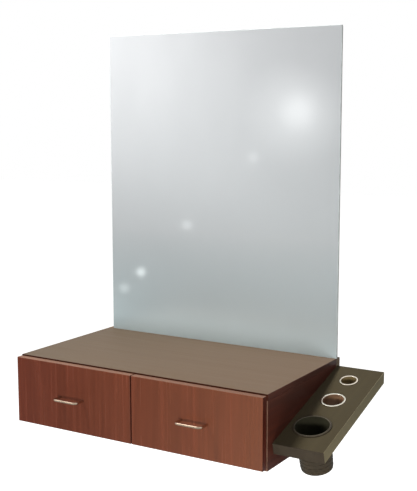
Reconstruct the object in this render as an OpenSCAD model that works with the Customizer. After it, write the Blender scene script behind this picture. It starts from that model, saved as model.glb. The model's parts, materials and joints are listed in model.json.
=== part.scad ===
// Wall-mounted styling station: a two-drawer cabinet, a frameless mirror and a sloping tool board.
// Millimetres. X runs to the right seen from the front, Y towards the wall, Z up.
// The origin lies on the wall plane, at the centre of the four wall screws.

/* [Cabinet] */
// Width over the side panels
cab_w = 780; // [740:1:820]
// Depth from the wall to the front edges of the panels
cab_d = 427; // [420:1:470]
// Height over the top and bottom panels
cab_h = 193; // [188:1:220]
// Thickness of the cabinet panels
panel_t = 16; // [15:0.5:19]
// Thickness of the board that hangs on the wall
wall_board_t = 23; // [22:0.5:26]

/* [Wall fixing] */
// Distance between the two wall studs
stud_pitch = 406.4; // [380:0.1:420]
// Height between the two rows of wall screws
wall_row_pitch = 96; // [80:1:110]
// Diameter of the wall screw holes
wall_hole_d = 7; // [5:0.5:8]

/* [Drawer fronts] */
// Thickness of a drawer front
front_t = 19; // [16:0.5:22]
// Gap between a drawer front and the panel edges behind it
front_gap = 3; // [2:0.5:4]
// Step from the top of the cabinet down to the fronts
top_reveal = 3; // [2:0.5:5]
// Step from the bottom of the cabinet up to the fronts
bottom_reveal = 6; // [4:0.5:7]
// Inset of the fronts from the sides of the cabinet
side_reveal = 1.6; // [0.6:0.1:3]
// Gap between the two fronts
middle_gap = 3.5; // [2:0.5:5]
// Radius on the outer edges of the fronts
front_ease = 1.5; // [0.5:0.1:3]

/* [Drawer boxes] */
// Height of the drawer sides
box_h = 115; // [95:1:120]
// Gap between a drawer box and the board that hangs on the wall
box_rear_gap = 27; // [15:1:42]
// Thickness of the drawer sides, box front and back
box_t = 12; // [12:0.5:15]
// Thickness of the drawer floor
floor_t = 5; // [3:0.5:6]
// Height of the drawer floor over the lower edge of the sides
floor_rise = 12; // [12:0.5:18]
// Depth of the grooves that hold the drawer floor
groove_depth = 6; // [4:0.5:6]
// Height of the drawer sides over the bottom panel
box_lift = 14.5; // [10:0.5:18]

/* [Runners] */
// Length of the runners
runner_l = 350; // [320:1:355]
// Sheet thickness of the runners
gauge = 1.2; // [1:0.1:1.3]
// Room for a runner between the cabinet and the drawer side
runner_room = 12.5; // [12.5:0.1:14]
// Length of runner that stays inside when a drawer is fully open
runner_overlap = 90; // [70:1:120]
// Step from the panel edges back to the runners
runner_setback = 2; // [1:0.5:6]
// Diameter of the rollers
roller_d = 18; // [16:0.5:20]
// Width of the rollers
roller_w = 5.4; // [4.5:0.1:5.5]
// Diameter of the roller rivets
rivet_d = 5; // [4:0.5:6]
// Height of the track over the lower edge of the drawer side, below it when negative
track_rise = -3; // [-4:0.5:-2]

/* [Handles] */
// Distance between the two handle screws
handle_pitch = 76; // [64:1:128]
// Diameter of the handle bar
handle_d = 6.4; // [5.5:0.1:10]
// Reach of the handle from the drawer front
handle_reach = 36; // [30:1:45]
// Radius of the handle bends, to the middle of the bar
handle_bend = 10; // [8:0.5:14]

/* [Tool board] */
// Width of the tool board from the cabinet side
tool_w = 137; // [125:1:160]
// Length of the tool board along its slope
tool_l = 402; // [380:1:410]
// Thickness of the tool board
tool_t = 30; // [25:1:32]
// Slope of the tool board
tool_slope = 15.7; // [10:0.1:16]
// Gap between the tool board and the wall
tool_wall_gap = 16; // [5:1:20]
// Drop from the top of the cabinet to the rear edge of the tool board
tool_drop = 20; // [10:1:25]
// Distance from the cabinet side to the middle of the holes
hole_line = 63; // [60:0.5:70]
// Place of the cup along the slope
cup_at = 304; // [295:0.1:310]
// Place of the large sleeve along the slope
large_at = 173.8; // [165:0.1:180]
// Place of the small sleeve along the slope
small_at = 69.7; // [65:0.1:80]

/* [Dryer cup] */
// Width of the cup inside its mouth
cup_bore = 88; // [80:1:92]
// Width of the cup outside at its base
cup_base_d = 82; // [76:1:88]
// Depth of the cup below the top of the tool board
cup_depth = 117; // [90:1:140]
// Wall thickness of the cup
cup_wall = 2; // [1.5:0.1:3]
// Width of the flange
cup_flange_d = 99; // [98:0.5:106]
// Number of ribs round the lower end
cup_ribs = 4; // [2:1:6]
// Distance between the ribs
rib_pitch = 11; // [5:0.5:14]

/* [Iron sleeves] */
// Bore of the large sleeve
large_bore = 55; // [50:0.5:58]
// Width of the large sleeve's rim
large_rim_d = 65.4; // [64:0.1:70]
// Bore of the small sleeve
small_bore = 41.5; // [38:0.5:44]
// Width of the small sleeve's rim
small_rim_d = 50; // [49.5:0.1:56]
// Wall thickness of the sleeves
sleeve_wall = 1.5; // [1:0.1:2]
// Length of the sleeves below the top of the tool board
sleeve_l = 60; // [40:1:90]

/* [Mirror] */
// Width of the mirror
mirror_w = 762; // [700:1:780]
// Height of the mirror
mirror_h = 901; // [800:1:1000]
// Thickness of the mirror glass
glass_t = 6; // [4:0.5:6]
// Thickness of the board behind the glass
backer_t = 6; // [4:0.5:6]
// Inset of that board from the edges of the glass
backer_inset = 2; // [0:0.5:10]
// Thickness of the cleats that hold the mirror
cleat_t = 2; // [1.5:0.1:2]
// Length of the cleats
cleat_l = 600; // [500:1:680]
// Distance from the top of the mirror down to the cleats
cleat_drop = 130; // [80:1:200]

/* [Hidden] */
$fn = 64;

// Clearances
snug = 0.05;       // radial, a screw, dowel or rivet in its hole
run = 0.05;        // radial, a roller on its rivet
roll_gap = 0.3;    // a roller to the track it runs on
slip = 0.25;       // a floor in its groove, a sleeve or cup in its hole
pass = 0.6;        // sheet metal that passes sheet metal
cut = 1;           // a cutter beyond the face that it opens

// Sides: -1 is left and 1 is right
LEFT = -1;
RIGHT = 1;

// Cabinet
floor_z = -cab_h / 2;
roof_z = cab_h / 2;
panel_d = cab_d - wall_board_t;
bay_w = (cab_w - 3 * panel_t) / 2;
bay_floor_z = floor_z + panel_t;
side_h = cab_h - panel_t;
divider_h = side_h - panel_t;
side_x = (cab_w - panel_t) / 2;
dowel_d = 8;
dowel_deep = 16;
dowel_shallow = panel_t - 5;
dowel_inset = 75;
dowel_rows = 3;
dowel_step = (panel_d - 2 * dowel_inset) / (dowel_rows - 1);
dowel_ys = [for (k = [0:dowel_rows - 1]) -wall_board_t - dowel_inset - k * dowel_step];
carcass_screw_d = 6.4;
carcass_screw_l = 50;
carcass_head_d = 10;
carcass_screw_x = 0.38 * cab_w;
carcass_screw_z = 0.2 * cab_h;
panel_mid = panel_t / 2;
carcass_screw_places = concat(
    [for (x = [-carcass_screw_x, 0, carcass_screw_x], z = [roof_z - panel_mid, floor_z + panel_mid]) [x, z]],
    [for (x = [-side_x, side_x], z = [-carcass_screw_z, carcass_screw_z]) [x, z]]
);

// Drawers
front_w = (cab_w - 2 * side_reveal - middle_gap) / 2;
front_h = cab_h - top_reveal - bottom_reveal;
front_z = floor_z + bottom_reveal;
front_back_y = -cab_d - front_gap;
front_face_y = front_back_y - front_t;
front_mid_x = (middle_gap + front_w) / 2;
box_z = bay_floor_z + box_lift;
box_w = bay_w - 2 * runner_room;
box_inner_w = box_w - 2 * box_t;
box_back_y = -wall_board_t - box_rear_gap;
box_l = box_back_y - front_back_y;
floor_in = groove_depth - slip;
wood_screw_d = 4;
wood_head_d = 7.5;
wood_head_t = 2.2;
corner_screw_l = 36;
corner_screw_rise = [0.3 * box_h, 0.8 * box_h];
front_screw_x = box_inner_w / 2 - 35;
front_screw_rise = [0.3 * box_h, 0.8 * box_h];
front_screw_l = box_t + front_t - 5;
bumper_d = 8;
bumper_t = front_gap - 0.2;
bumper_x = front_w / 2 - 24;
bumper_top_z = (roof_z - panel_t + front_z + front_h) / 2;
bumper_low_z = (bay_floor_z + front_z) / 2;
handle_z = front_z + front_h / 2;
handle_screw_d = 4;
handle_thread = 10;

// Runners, in a frame with x from the cabinet wall to the drawer and z from the drawer side's lower edge
roller_r = roller_d / 2;
track_z = track_rise;
web_in = runner_room - gauge;
shelf_z = track_z + roll_gap + roller_d + pass;
shelf_edge = 2.8;
shelf_lip = 2;
track_edge = web_in - 0.5;
hood_z = shelf_z + gauge + pass;
front_roller_z = shelf_z - roll_gap - roller_r;
rear_roller_z = track_z + roll_gap + roller_r;
roller_end = 12;
bay_runner_y = -cab_d + runner_setback;
bay_runner_end_y = bay_runner_y + runner_l;
drawer_runner_y = front_back_y + runner_setback;
drawer_runner_end_y = drawer_runner_y + runner_l;
front_roller_y = bay_runner_y + roller_end;
rear_roller_y = drawer_runner_end_y - roller_end;
hood_cutback = 45;
front_roller_in = shelf_edge + gauge + 0.4;
rivet_head_t = 0.8;
rivet_play = 0.2;
rivet_head_d = rivet_d + 3;
rear_roller_in = web_in - 0.9 - roller_w;
travel = runner_l - runner_overlap;
stop_h = 5;
stop_reach = sqrt(pow(roller_r, 2) - pow(roller_r + roll_gap - stop_h, 2));
stop_y = rear_roller_y - travel - stop_reach - roll_gap;
bay_screw_in = panel_t / 2 - 1;
bay_screw_head_t = 1.1;
bay_screw_z = (track_z + shelf_z) / 2;
bay_screw_ys = [for (k = [0.14, 0.5, 0.9]) bay_runner_y + k * runner_l];
runner_screw_ys = [for (k = [0.1, 0.85]) drawer_runner_y + k * runner_l];
runner_screw_l = 10;
slot_w = 4.4;
slot_l = 9;
slot_z = bay_screw_z;
slot_ys = [for (k = [0.25, 0.64]) bay_runner_y + k * runner_l];

// Tool board
tool_x = cab_w / 2;
tool_z = roof_z - tool_drop;
tool_screw_l = 48;
tool_screw_at = [
    small_at - small_rim_d / 2 - 21, (small_at + large_at) / 2, (large_at + cup_at) / 2 - 5,
    cup_at + cup_flange_d / 2 + 20
];
tool_ease = 1;
cup_top_r = cup_bore / 2 + cup_wall;
cup_base_r = cup_base_d / 2;
cup_hole_d = 2 * cup_top_r + 2 * slip;
flange_t = 2.4;
cup_base_t = 2.5;
cup_lip = 2;
rib_out = 1;
rib_w = 2.6;
rib_first = 6;
rim_t = 2.4;

// Mirror
mirror_x = (cab_w - mirror_w) / 2;
mirror_z = roof_z;
mirror_front_y = -wall_board_t;
glass_back_y = mirror_front_y + glass_t;
backer_back_y = glass_back_y + backer_t;
standoff = -backer_back_y;
cleat_z = mirror_z + mirror_h - cleat_drop;
hook_reach = 6;
hook_gap = 0.4;
cleat_leg = 18;
cleat_screw_d = 3.5;
cleat_head_d = 7;
cleat_head_t = 1.6;
cleat_screw_x = 0.4 * cleat_l;
cleat_hole_d = 5.5;
cleat_leg_mid = hook_reach + cleat_leg / 2;
spacer_d = 20;
spacer_in = 40;
glass_seam = 0.8;

// A 2D outline in x and z, drawn out along y from y0 to y1
module along_y(y0, y1) {
    translate([0, y1, 0]) rotate([90, 0, 0]) linear_extrude(y1 - y0) children();
}

// A 2D outline in y and z, drawn out along x from x0 to x1
module along_x(x0, x1) {
    translate([x0, 0, 0]) rotate([90, 0, 90]) linear_extrude(x1 - x0) children();
}

// A box between two corners
module block(low, high) {
    translate(low) cube(high - low);
}

// A rectangle from (0, 0) to (w, d) with the two corners on its lower side rounded
module eased_strip(w, d, r) {
    translate([0, r]) square([w, d - r]);
    translate([r, 0]) square([w - 2 * r, r]);
    for (x = [r, w - r]) translate([x, r]) circle(r);
}

// The cross recess in a screw head whose top is at z = 0
module cross_recess(head_d, deep) {
    across = 0.5 * head_d;
    wing = 0.12 * head_d;
    translate([0, 0, -deep]) linear_extrude(deep + cut) {
        square([across, wing], center = true);
        square([wing, across], center = true);
    }
}

// A screw with a countersunk head, its top at z = 0, pointing down. Grown, it cuts its own hole.
module sunk_screw(d, l, head_d, grow = 0) {
    sink = (head_d - d) / 2;
    difference() {
        union() {
            translate([0, 0, -l - grow]) cylinder(h = l + grow, d = d + 2 * grow);
            translate([0, 0, -sink]) cylinder(h = sink, r1 = d / 2 + grow, r2 = head_d / 2 + grow);
        }
        if (grow == 0) cross_recess(head_d, 0.19 * head_d);
    }
}

// A screw with a raised head that sits on z = 0, pointing down. Grown, it cuts its own hole.
module raised_screw(d, l, head_d, head_t, grow = 0) {
    crown_r = 0.8 * head_d;
    difference() {
        union() {
            translate([0, 0, -l - grow]) cylinder(h = l + grow + 0.01, d = d + 2 * grow);
            rotate_extrude() intersection() {
                square([head_d / 2, head_t]);
                translate([0, head_t - crown_r]) circle(crown_r);
            }
        }
        if (grow == 0) translate([0, 0, head_t]) cross_recess(head_d, min(0.19 * head_d, 0.8 * head_t));
    }
}

// A plain dowel about z = 0, up by a and down by b
module dowel(up, down, grow = 0) {
    translate([0, 0, -down - grow]) cylinder(h = up + down + 2 * grow, d = dowel_d + 2 * grow);
}

// The dowels that hold the cabinet together
module dowel_set(grow = 0) {
    for (y = dowel_ys) {
        for (x = [-side_x, 0, side_x])
            translate([x, y, roof_z - panel_t]) dowel(dowel_shallow, dowel_deep, grow);
        translate([0, y, bay_floor_z]) dowel(dowel_deep, dowel_shallow, grow);
        for (s = [LEFT, RIGHT])
            translate([s * (cab_w / 2 - panel_t), y, floor_z + panel_mid])
                rotate([0, s * 90, 0]) dowel(dowel_shallow, dowel_deep, grow);
    }
}

// The screws that go through the wall board into the edges of the panels
module carcass_screw_set(grow = 0) {
    for (p = carcass_screw_places)
        translate([p[0], 0, p[1]]) rotate([-90, 0, 0])
            sunk_screw(carcass_screw_d, carcass_screw_l, carcass_head_d, grow);
}

// The middle of a bay, about which its drawer is drawn
function bay_x(side) = side * (panel_t + bay_w) / 2;

// The place of one hand of a runner: the cabinet wall, at the height of the drawer side's lower edge
module at_wall(side, hand) {
    translate([bay_x(side) + hand * bay_w / 2, 0, box_z])
        mirror([hand > 0 ? 1 : 0, 0, 0]) children();
}

// The hand of a bay's outer wall is the side of the cabinet that the bay is on
module bay_screw_set(side, grow = 0) {
    for (hand = [LEFT, RIGHT], y = bay_screw_ys)
        at_wall(side, hand) translate([gauge, y, bay_screw_z]) rotate([0, 90, 0])
            raised_screw(wood_screw_d, gauge + bay_screw_in, wood_head_d, bay_screw_head_t, grow);
}

// The frame of the tool board: x from the cabinet side, y up the slope, z out of its top face
module on_tool_board() {
    translate([tool_x, -tool_wall_gap, tool_z]) rotate([tool_slope, 0, 0]) children();
}

// The screws that go through the right side panel into the tool board
module tool_screw_set(grow = 0) {
    on_tool_board() for (at = tool_screw_at)
        translate([-panel_t, -at, -tool_t / 2]) rotate([0, -90, 0])
            sunk_screw(carcass_screw_d, tool_screw_l, carcass_head_d, grow);
}

module wall_board() {
    color("#3a332c") difference() {
        block([-cab_w / 2, -wall_board_t, floor_z], [cab_w / 2, 0, roof_z]);
        carcass_screw_set(snug);
        for (x = [-stud_pitch / 2, stud_pitch / 2], z = [-wall_row_pitch / 2, wall_row_pitch / 2])
            translate([x, cut, z]) rotate([90, 0, 0]) cylinder(h = wall_board_t + 2 * cut, d = wall_hole_d);
    }
}

module top_panel() {
    color("#8a7060") difference() {
        block([-cab_w / 2, -cab_d, roof_z - panel_t], [cab_w / 2, -wall_board_t, roof_z]);
        dowel_set(snug);
        carcass_screw_set(snug);
    }
}

module bottom_panel() {
    color("#5a2f25") difference() {
        block([-cab_w / 2 + panel_t, -cab_d, floor_z], [cab_w / 2 - panel_t, -wall_board_t, bay_floor_z]);
        dowel_set(snug);
        carcass_screw_set(snug);
    }
}

module side_panel(side) {
    color("#4a231c") difference() {
        translate([side * side_x - panel_mid, -cab_d, floor_z]) cube([panel_t, panel_d, side_h]);
        dowel_set(snug);
        carcass_screw_set(snug);
        bay_screw_set(side, snug);
        if (side == RIGHT) tool_screw_set(snug);
    }
}

module centre_divider() {
    color("#4a231c") difference() {
        translate([-panel_mid, -cab_d, bay_floor_z]) cube([panel_t, panel_d, divider_h]);
        dowel_set(snug);
        for (side = [LEFT, RIGHT]) bay_screw_set(side, snug);
    }
}

module carcass_dowels() {
    color("#d8b98a") dowel_set();
}

module carcass_screws() {
    color("#b0b0b0") carcass_screw_set();
}

// A spare screw slot through a runner's web, which starts at x and is one gauge thick
module web_slot(x, y) {
    half = (slot_l - slot_w) / 2;
    translate([x - cut, y, slot_z]) rotate([0, 90, 0]) linear_extrude(gauge + 2 * cut) {
        square([slot_w, 2 * half], center = true);
        for (s = [LEFT, RIGHT]) translate([0, s * half]) circle(d = slot_w);
    }
}

// The cabinet half of a roller runner: a channel whose lower flange is the track
module bay_runner(side, hand) {
    color("#e6e2d8") difference() {
        at_wall(side, hand) {
            along_y(bay_runner_y, bay_runner_end_y) {
                translate([0, track_z - gauge]) square([gauge, hood_z + 2 * gauge - track_z]);
                translate([0, track_z - gauge]) square([track_edge, gauge]);
            }
            along_y(bay_runner_y + hood_cutback, bay_runner_end_y)
                translate([0, hood_z]) square([track_edge, gauge]);
            translate([front_roller_in, stop_y - gauge, track_z - gauge / 2])
                cube([track_edge - front_roller_in, gauge, stop_h + gauge / 2]);
        }
        bay_screw_set(side, snug);
        at_wall(side, hand) {
            for (y = slot_ys) web_slot(0, y);
            translate([-cut, front_roller_y, front_roller_z]) rotate([0, 90, 0])
                cylinder(h = gauge + 2 * cut, d = rivet_d + 2 * snug);
        }
    }
}

module bay_runner_screws() {
    color("#c8c8c8") for (side = [LEFT, RIGHT]) bay_screw_set(side);
}

// A nylon roller along x from x = 0, dished on both faces, with eased rims
module roller() {
    hub_r = rivet_d / 2 + 2;
    rim_r = roller_r - 2;
    dish = 0.8;
    chamfer = 0.5;
    rotate([90, 0, 90]) rotate_extrude() polygon([
        [rivet_d / 2 + run, 0], [hub_r, 0], [hub_r, dish], [rim_r, dish], [rim_r, 0],
        [roller_r - chamfer, 0], [roller_r, chamfer], [roller_r, roller_w - chamfer],
        [roller_r - chamfer, roller_w], [rim_r, roller_w], [rim_r, roller_w - dish],
        [hub_r, roller_w - dish], [hub_r, roller_w], [rivet_d / 2 + run, roller_w]
    ]);
}

// The rivet of a front roller stands on the web of the cabinet runner
module front_roller_rivets() {
    head_in = front_roller_in + roller_w + rivet_play;
    color("#b8b8b8") for (side = [LEFT, RIGHT], hand = [LEFT, RIGHT])
        at_wall(side, hand) translate([0, front_roller_y, front_roller_z]) rotate([0, 90, 0]) {
            cylinder(h = head_in + rivet_head_t / 2, d = rivet_d);
            translate([0, 0, gauge]) cylinder(h = front_roller_in - gauge - rivet_play, d = rivet_head_d);
            translate([0, 0, head_in]) cylinder(h = rivet_head_t, d = rivet_head_d);
        }
}

module front_rollers(side) {
    color("#f2f0ea") for (hand = [LEFT, RIGHT])
        at_wall(side, hand) translate([front_roller_in, front_roller_y, front_roller_z]) roller();
}

module tool_board() {
    color("#565040") difference() {
        on_tool_board() intersection() {
            along_x(0, tool_w)
                polygon([[0, 0], [-tool_l, 0], [-tool_l, -tool_t], [-tool_t * tan(tool_slope), -tool_t]]);
            translate([0, 0, -tool_t]) linear_extrude(tool_t) translate([0, -tool_l])
                tool_outline();
        }
        on_tool_board() {
            board_hole(cup_at, cup_hole_d);
            board_hole(large_at, large_bore + 2 * sleeve_wall + 2 * slip);
            board_hole(small_at, small_bore + 2 * sleeve_wall + 2 * slip);
        }
        tool_screw_set(snug);
    }
}

// The outline of the tool board from above, with its two outer corners eased
module tool_outline() {
    square([tool_w - tool_ease, tool_l]);
    translate([0, tool_ease]) square([tool_w, tool_l - 2 * tool_ease]);
    for (y = [tool_ease, tool_l - tool_ease]) translate([tool_w - tool_ease, y]) circle(tool_ease);
}

module board_hole(at, d) {
    translate([hole_line, -at, -tool_t - cut]) cylinder(h = tool_t + 2 * cut, d = d);
}

module tool_board_screws() {
    color("#b0b0b0") tool_screw_set();
}

// A tapered cup with a flange, a raised lip and ribs round its lower end
module dryer_cup() {
    taper = (cup_top_r - cup_base_r) / cup_depth;
    flange_mid_r = (cup_flange_d - flange_t) / 2;
    color("#1d1b17") on_tool_board() translate([hole_line, -cup_at, 0]) rotate_extrude() {
        difference() {
            polygon([
                [0, -cup_depth], [cup_base_r, -cup_depth], [cup_top_r, 0],
                [cup_top_r, flange_t], [0, flange_t]
            ]);
            polygon([
                [-cut, cup_base_t - cup_depth], [cup_base_r - cup_wall, cup_base_t - cup_depth],
                [cup_top_r - cup_wall, 0], [cup_top_r - cup_wall, flange_t + cut], [-cut, flange_t + cut]
            ]);
        }
        translate([cup_top_r - cup_wall / 2, 0]) square([flange_mid_r - cup_top_r + cup_wall / 2, flange_t]);
        translate([flange_mid_r, flange_t / 2]) circle(flange_t / 2);
        translate([cup_top_r - cup_wall / 2, flange_t]) circle(cup_lip / 2);
        for (k = [0:cup_ribs - 1]) {
            up = rib_first + k * rib_pitch;
            r = cup_base_r + taper * up;
            translate([r - cup_wall / 2, up - cup_depth]) square([(cup_wall - rib_w) / 2 + rib_out, rib_w]);
            translate([r + rib_out - rib_w / 2, up + rib_w / 2 - cup_depth]) circle(rib_w / 2);
        }
    }
}

// A metal sleeve with a rolled rim that lies on the tool board
module iron_sleeve(at, bore, rim_d) {
    color("#d6d2c8") on_tool_board() translate([hole_line, -at, 0]) rotate_extrude() {
        translate([bore / 2, -sleeve_l]) square([sleeve_wall, sleeve_l + rim_t / 2]);
        translate([bore / 2 + rim_t / 2, 0]) square([(rim_d - bore) / 2 - rim_t, rim_t]);
        for (x = [bore + rim_t, rim_d - rim_t]) translate([x / 2, rim_t / 2]) circle(rim_t / 2);
    }
}

// The glass, with its front edges seamed
module mirror_glass() {
    color("#c3cbcd") intersection() {
        translate([mirror_x - mirror_w / 2, mirror_front_y, mirror_z])
            linear_extrude(mirror_h) eased_strip(mirror_w, glass_t, glass_seam);
        along_x(mirror_x - mirror_w / 2, mirror_x + mirror_w / 2)
            translate([mirror_front_y, mirror_z + mirror_h]) rotate(-90)
                eased_strip(mirror_h, glass_t, glass_seam);
    }
}

module mirror_backer() {
    color("#a39a8c") difference() {
        block(
            [mirror_x - mirror_w / 2 + backer_inset, glass_back_y, mirror_z],
            [mirror_x + mirror_w / 2 - backer_inset, backer_back_y, mirror_z + mirror_h - backer_inset]
        );
        cleat_screw_set(snug);
    }
}

// Half of a pair of hooking cleats against the plane y = 0, hooking upwards
module cleat_half() {
    along_x(-cleat_l / 2, cleat_l / 2) {
        translate([-cleat_t, -hook_reach - cleat_leg]) square([cleat_t, cleat_leg]);
        translate([-standoff / 2 - cleat_t - hook_gap / 2, -hook_reach - cleat_t])
            square([standoff / 2 + cleat_t + hook_gap / 2, cleat_t]);
        translate([-standoff / 2 - cleat_t - hook_gap / 2, -hook_reach - cleat_t])
            square([cleat_t, 2 * hook_reach + cleat_t]);
    }
}

module wall_cleat() {
    color("#b9bcbe") difference() {
        translate([mirror_x, 0, cleat_z]) cleat_half();
        for (x = [-stud_pitch / 2, stud_pitch / 2])
            translate([x, cut, cleat_z - cleat_leg_mid]) rotate([90, 0, 0])
                cylinder(h = cleat_t + 2 * cut, d = cleat_hole_d);
    }
}

// Screws through the leg of the mirror's cleat into the board behind the glass
module cleat_screw_set(grow = 0) {
    for (x = [-cleat_screw_x, 0, cleat_screw_x])
        translate([mirror_x + x, -standoff + cleat_t, cleat_z + cleat_leg_mid]) rotate([-90, 0, 0])
            raised_screw(cleat_screw_d, cleat_t + backer_t - 1, cleat_head_d, cleat_head_t, grow);
}

module mirror_cleat() {
    color("#b9bcbe") difference() {
        translate([mirror_x, -standoff, cleat_z]) rotate([180, 0, 0]) cleat_half();
        cleat_screw_set(snug);
    }
}

module mirror_cleat_screws() {
    color("#c8c8c8") cleat_screw_set();
}

module mirror_spacers() {
    color("#2b2b2b") for (s = [LEFT, RIGHT])
        translate([mirror_x + s * (mirror_w / 2 - spacer_in), 0, mirror_z + spacer_in]) rotate([90, 0, 0])
            cylinder(h = standoff, d = spacer_d);
}

// A drawer side's corner screws, at both ends of the box
module corner_screw_set(hand, grow = 0) {
    for (y = [front_back_y + box_t / 2, box_back_y - box_t / 2], rise = corner_screw_rise)
        translate([hand * box_w / 2, y, box_z + rise]) rotate([0, hand * 90, 0])
            sunk_screw(wood_screw_d, corner_screw_l, wood_head_d, grow);
}

// The screws that hold the front to the box, driven from inside the drawer
module front_screw_set(grow = 0) {
    for (x = [-front_screw_x, front_screw_x], rise = front_screw_rise)
        translate([x, front_back_y + box_t, box_z + rise]) rotate([-90, 0, 0])
            raised_screw(wood_screw_d, front_screw_l, wood_head_d, wood_head_t, grow);
}

// The handle's machine screws, centred on the middle of the drawer front
module handle_screw_set(side, grow = 0) {
    for (s = [LEFT, RIGHT])
        translate([side * front_mid_x + s * handle_pitch / 2, front_back_y + box_t, handle_z])
            rotate([-90, 0, 0]) raised_screw(
                handle_screw_d, box_t + front_t + handle_thread, wood_head_d, wood_head_t, grow
            );
}

module drawer_front(side) {
    color("#7a4436") difference() {
        intersection() {
            translate([side * front_mid_x - front_w / 2, front_face_y, front_z])
                linear_extrude(front_h) eased_strip(front_w, front_t, front_ease);
            along_x(side * front_mid_x - front_w / 2, side * front_mid_x + front_w / 2)
                translate([front_face_y, front_z + front_h]) rotate(-90)
                    eased_strip(front_h, front_t, front_ease);
        }
        translate([bay_x(side), 0, 0]) front_screw_set(snug);
        handle_screw_set(side, snug);
    }
}

// The groove for the drawer floor, as a slab wider than the box
module floor_groove() {
    half_w = box_inner_w / 2 + groove_depth;
    groove_z = box_z + floor_rise - slip;
    block(
        [-half_w, front_back_y + box_t - groove_depth, groove_z],
        [half_w, box_back_y - box_t + groove_depth, groove_z + floor_t + 2 * slip]
    );
}

module drawer_side(side, hand) {
    color("#dccfb8") translate([bay_x(side), 0, 0]) difference() {
        translate([hand * (box_w - box_t) / 2 - box_t / 2, front_back_y, box_z]) cube([box_t, box_l, box_h]);
        floor_groove();
        corner_screw_set(hand, snug);
        runner_screw_set(hand, snug);
    }
}

module drawer_end(side, y) {
    color("#dccfb8") difference() {
        translate([bay_x(side), 0, 0]) difference() {
            translate([-box_inner_w / 2, y, box_z]) cube([box_inner_w, box_t, box_h]);
            floor_groove();
            for (hand = [LEFT, RIGHT]) corner_screw_set(hand, snug);
            front_screw_set(snug);
        }
        handle_screw_set(side, snug);
    }
}

module drawer_floor(side) {
    color("#cbbb9e") translate([bay_x(side), 0, 0]) block(
        [-box_inner_w / 2 - floor_in, front_back_y + box_t - floor_in, box_z + floor_rise],
        [box_inner_w / 2 + floor_in, box_back_y - box_t + floor_in, box_z + floor_rise + floor_t]
    );
}

// Screws up through the foot of the drawer runner into the edge of the drawer side
module runner_screw_set(hand, grow = 0) {
    for (y = runner_screw_ys)
        translate([hand * (box_w - box_t) / 2, y, box_z - gauge]) rotate([180, 0, 0])
            raised_screw(wood_screw_d - 0.5, gauge + runner_screw_l, wood_head_d, bay_screw_head_t, grow);
}

// The drawer half of a roller runner: a foot under the side, a web and a shelf that runs on the front roller
module drawer_runner(side, hand) {
    color("#e6e2d8") difference() {
        at_wall(side, hand) along_y(drawer_runner_y, drawer_runner_end_y) {
            translate([web_in, -gauge]) square([gauge + box_t - cut, gauge]);
            translate([web_in, -gauge]) square([gauge, shelf_z + 2 * gauge]);
            translate([shelf_edge, shelf_z]) square([runner_room - shelf_edge, gauge]);
            translate([shelf_edge, shelf_z - shelf_lip]) square([gauge, shelf_lip + gauge]);
        }
        translate([bay_x(side), 0, 0]) runner_screw_set(hand, snug);
        at_wall(side, hand) {
            for (y = slot_ys) web_slot(web_in, y);
            translate([web_in - cut, rear_roller_y, rear_roller_z]) rotate([0, 90, 0])
                cylinder(h = gauge + cut, d = rivet_d + 2 * snug);
        }
    }
}

// The rivets of the rear rollers stand on the webs of the drawer runners
module drawer_rivets(side) {
    head_in = rear_roller_in - rivet_play - rivet_head_t;
    color("#b8b8b8") for (hand = [LEFT, RIGHT])
        at_wall(side, hand) translate([0, rear_roller_y, rear_roller_z]) rotate([0, 90, 0]) {
            translate([0, 0, head_in + rivet_head_t / 2])
                cylinder(h = runner_room - head_in - rivet_head_t / 2, d = rivet_d);
            translate([0, 0, rear_roller_in + roller_w + rivet_play])
                cylinder(h = web_in - rear_roller_in - roller_w - rivet_play, d = rivet_head_d);
            translate([0, 0, head_in]) cylinder(h = rivet_head_t, d = rivet_head_d);
        }
}

module drawer_rollers(side) {
    color("#f2f0ea") for (hand = [LEFT, RIGHT])
        at_wall(side, hand) translate([rear_roller_in, rear_roller_y, rear_roller_z]) roller();
}

module drawer_bumpers(side) {
    color("#d8d8d0") for (s = [LEFT, RIGHT], z = [bumper_top_z, bumper_low_z])
        translate([side * front_mid_x + s * bumper_x, front_back_y + bumper_t, z]) rotate([90, 0, 0])
            cylinder(h = bumper_t, d = bumper_d);
}

// A wire pull: two legs, two bends and a straight grip
module handle(side) {
    leg = handle_reach - handle_d / 2 - handle_bend;
    grip = handle_pitch - 2 * handle_bend;
    color("#cfc9bf") difference() {
        translate([side * front_mid_x, front_face_y, handle_z]) {
            for (s = [LEFT, RIGHT]) {
                translate([s * handle_pitch / 2, 0, 0]) rotate([90, 0, 0]) cylinder(h = leg, d = handle_d);
                mirror([s > 0 ? 0 : 1, 0, 0]) translate([grip / 2, -leg, 0]) rotate([0, 0, -90])
                    rotate_extrude(angle = 90) translate([handle_bend, 0]) circle(d = handle_d);
            }
            translate([-grip / 2, -leg - handle_bend, 0]) rotate([0, 90, 0]) cylinder(h = grip, d = handle_d);
        }
        handle_screw_set(side, snug);
    }
}

module drawer_handle_screws(side) {
    color("#c8c8c8") handle_screw_set(side);
}

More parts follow.
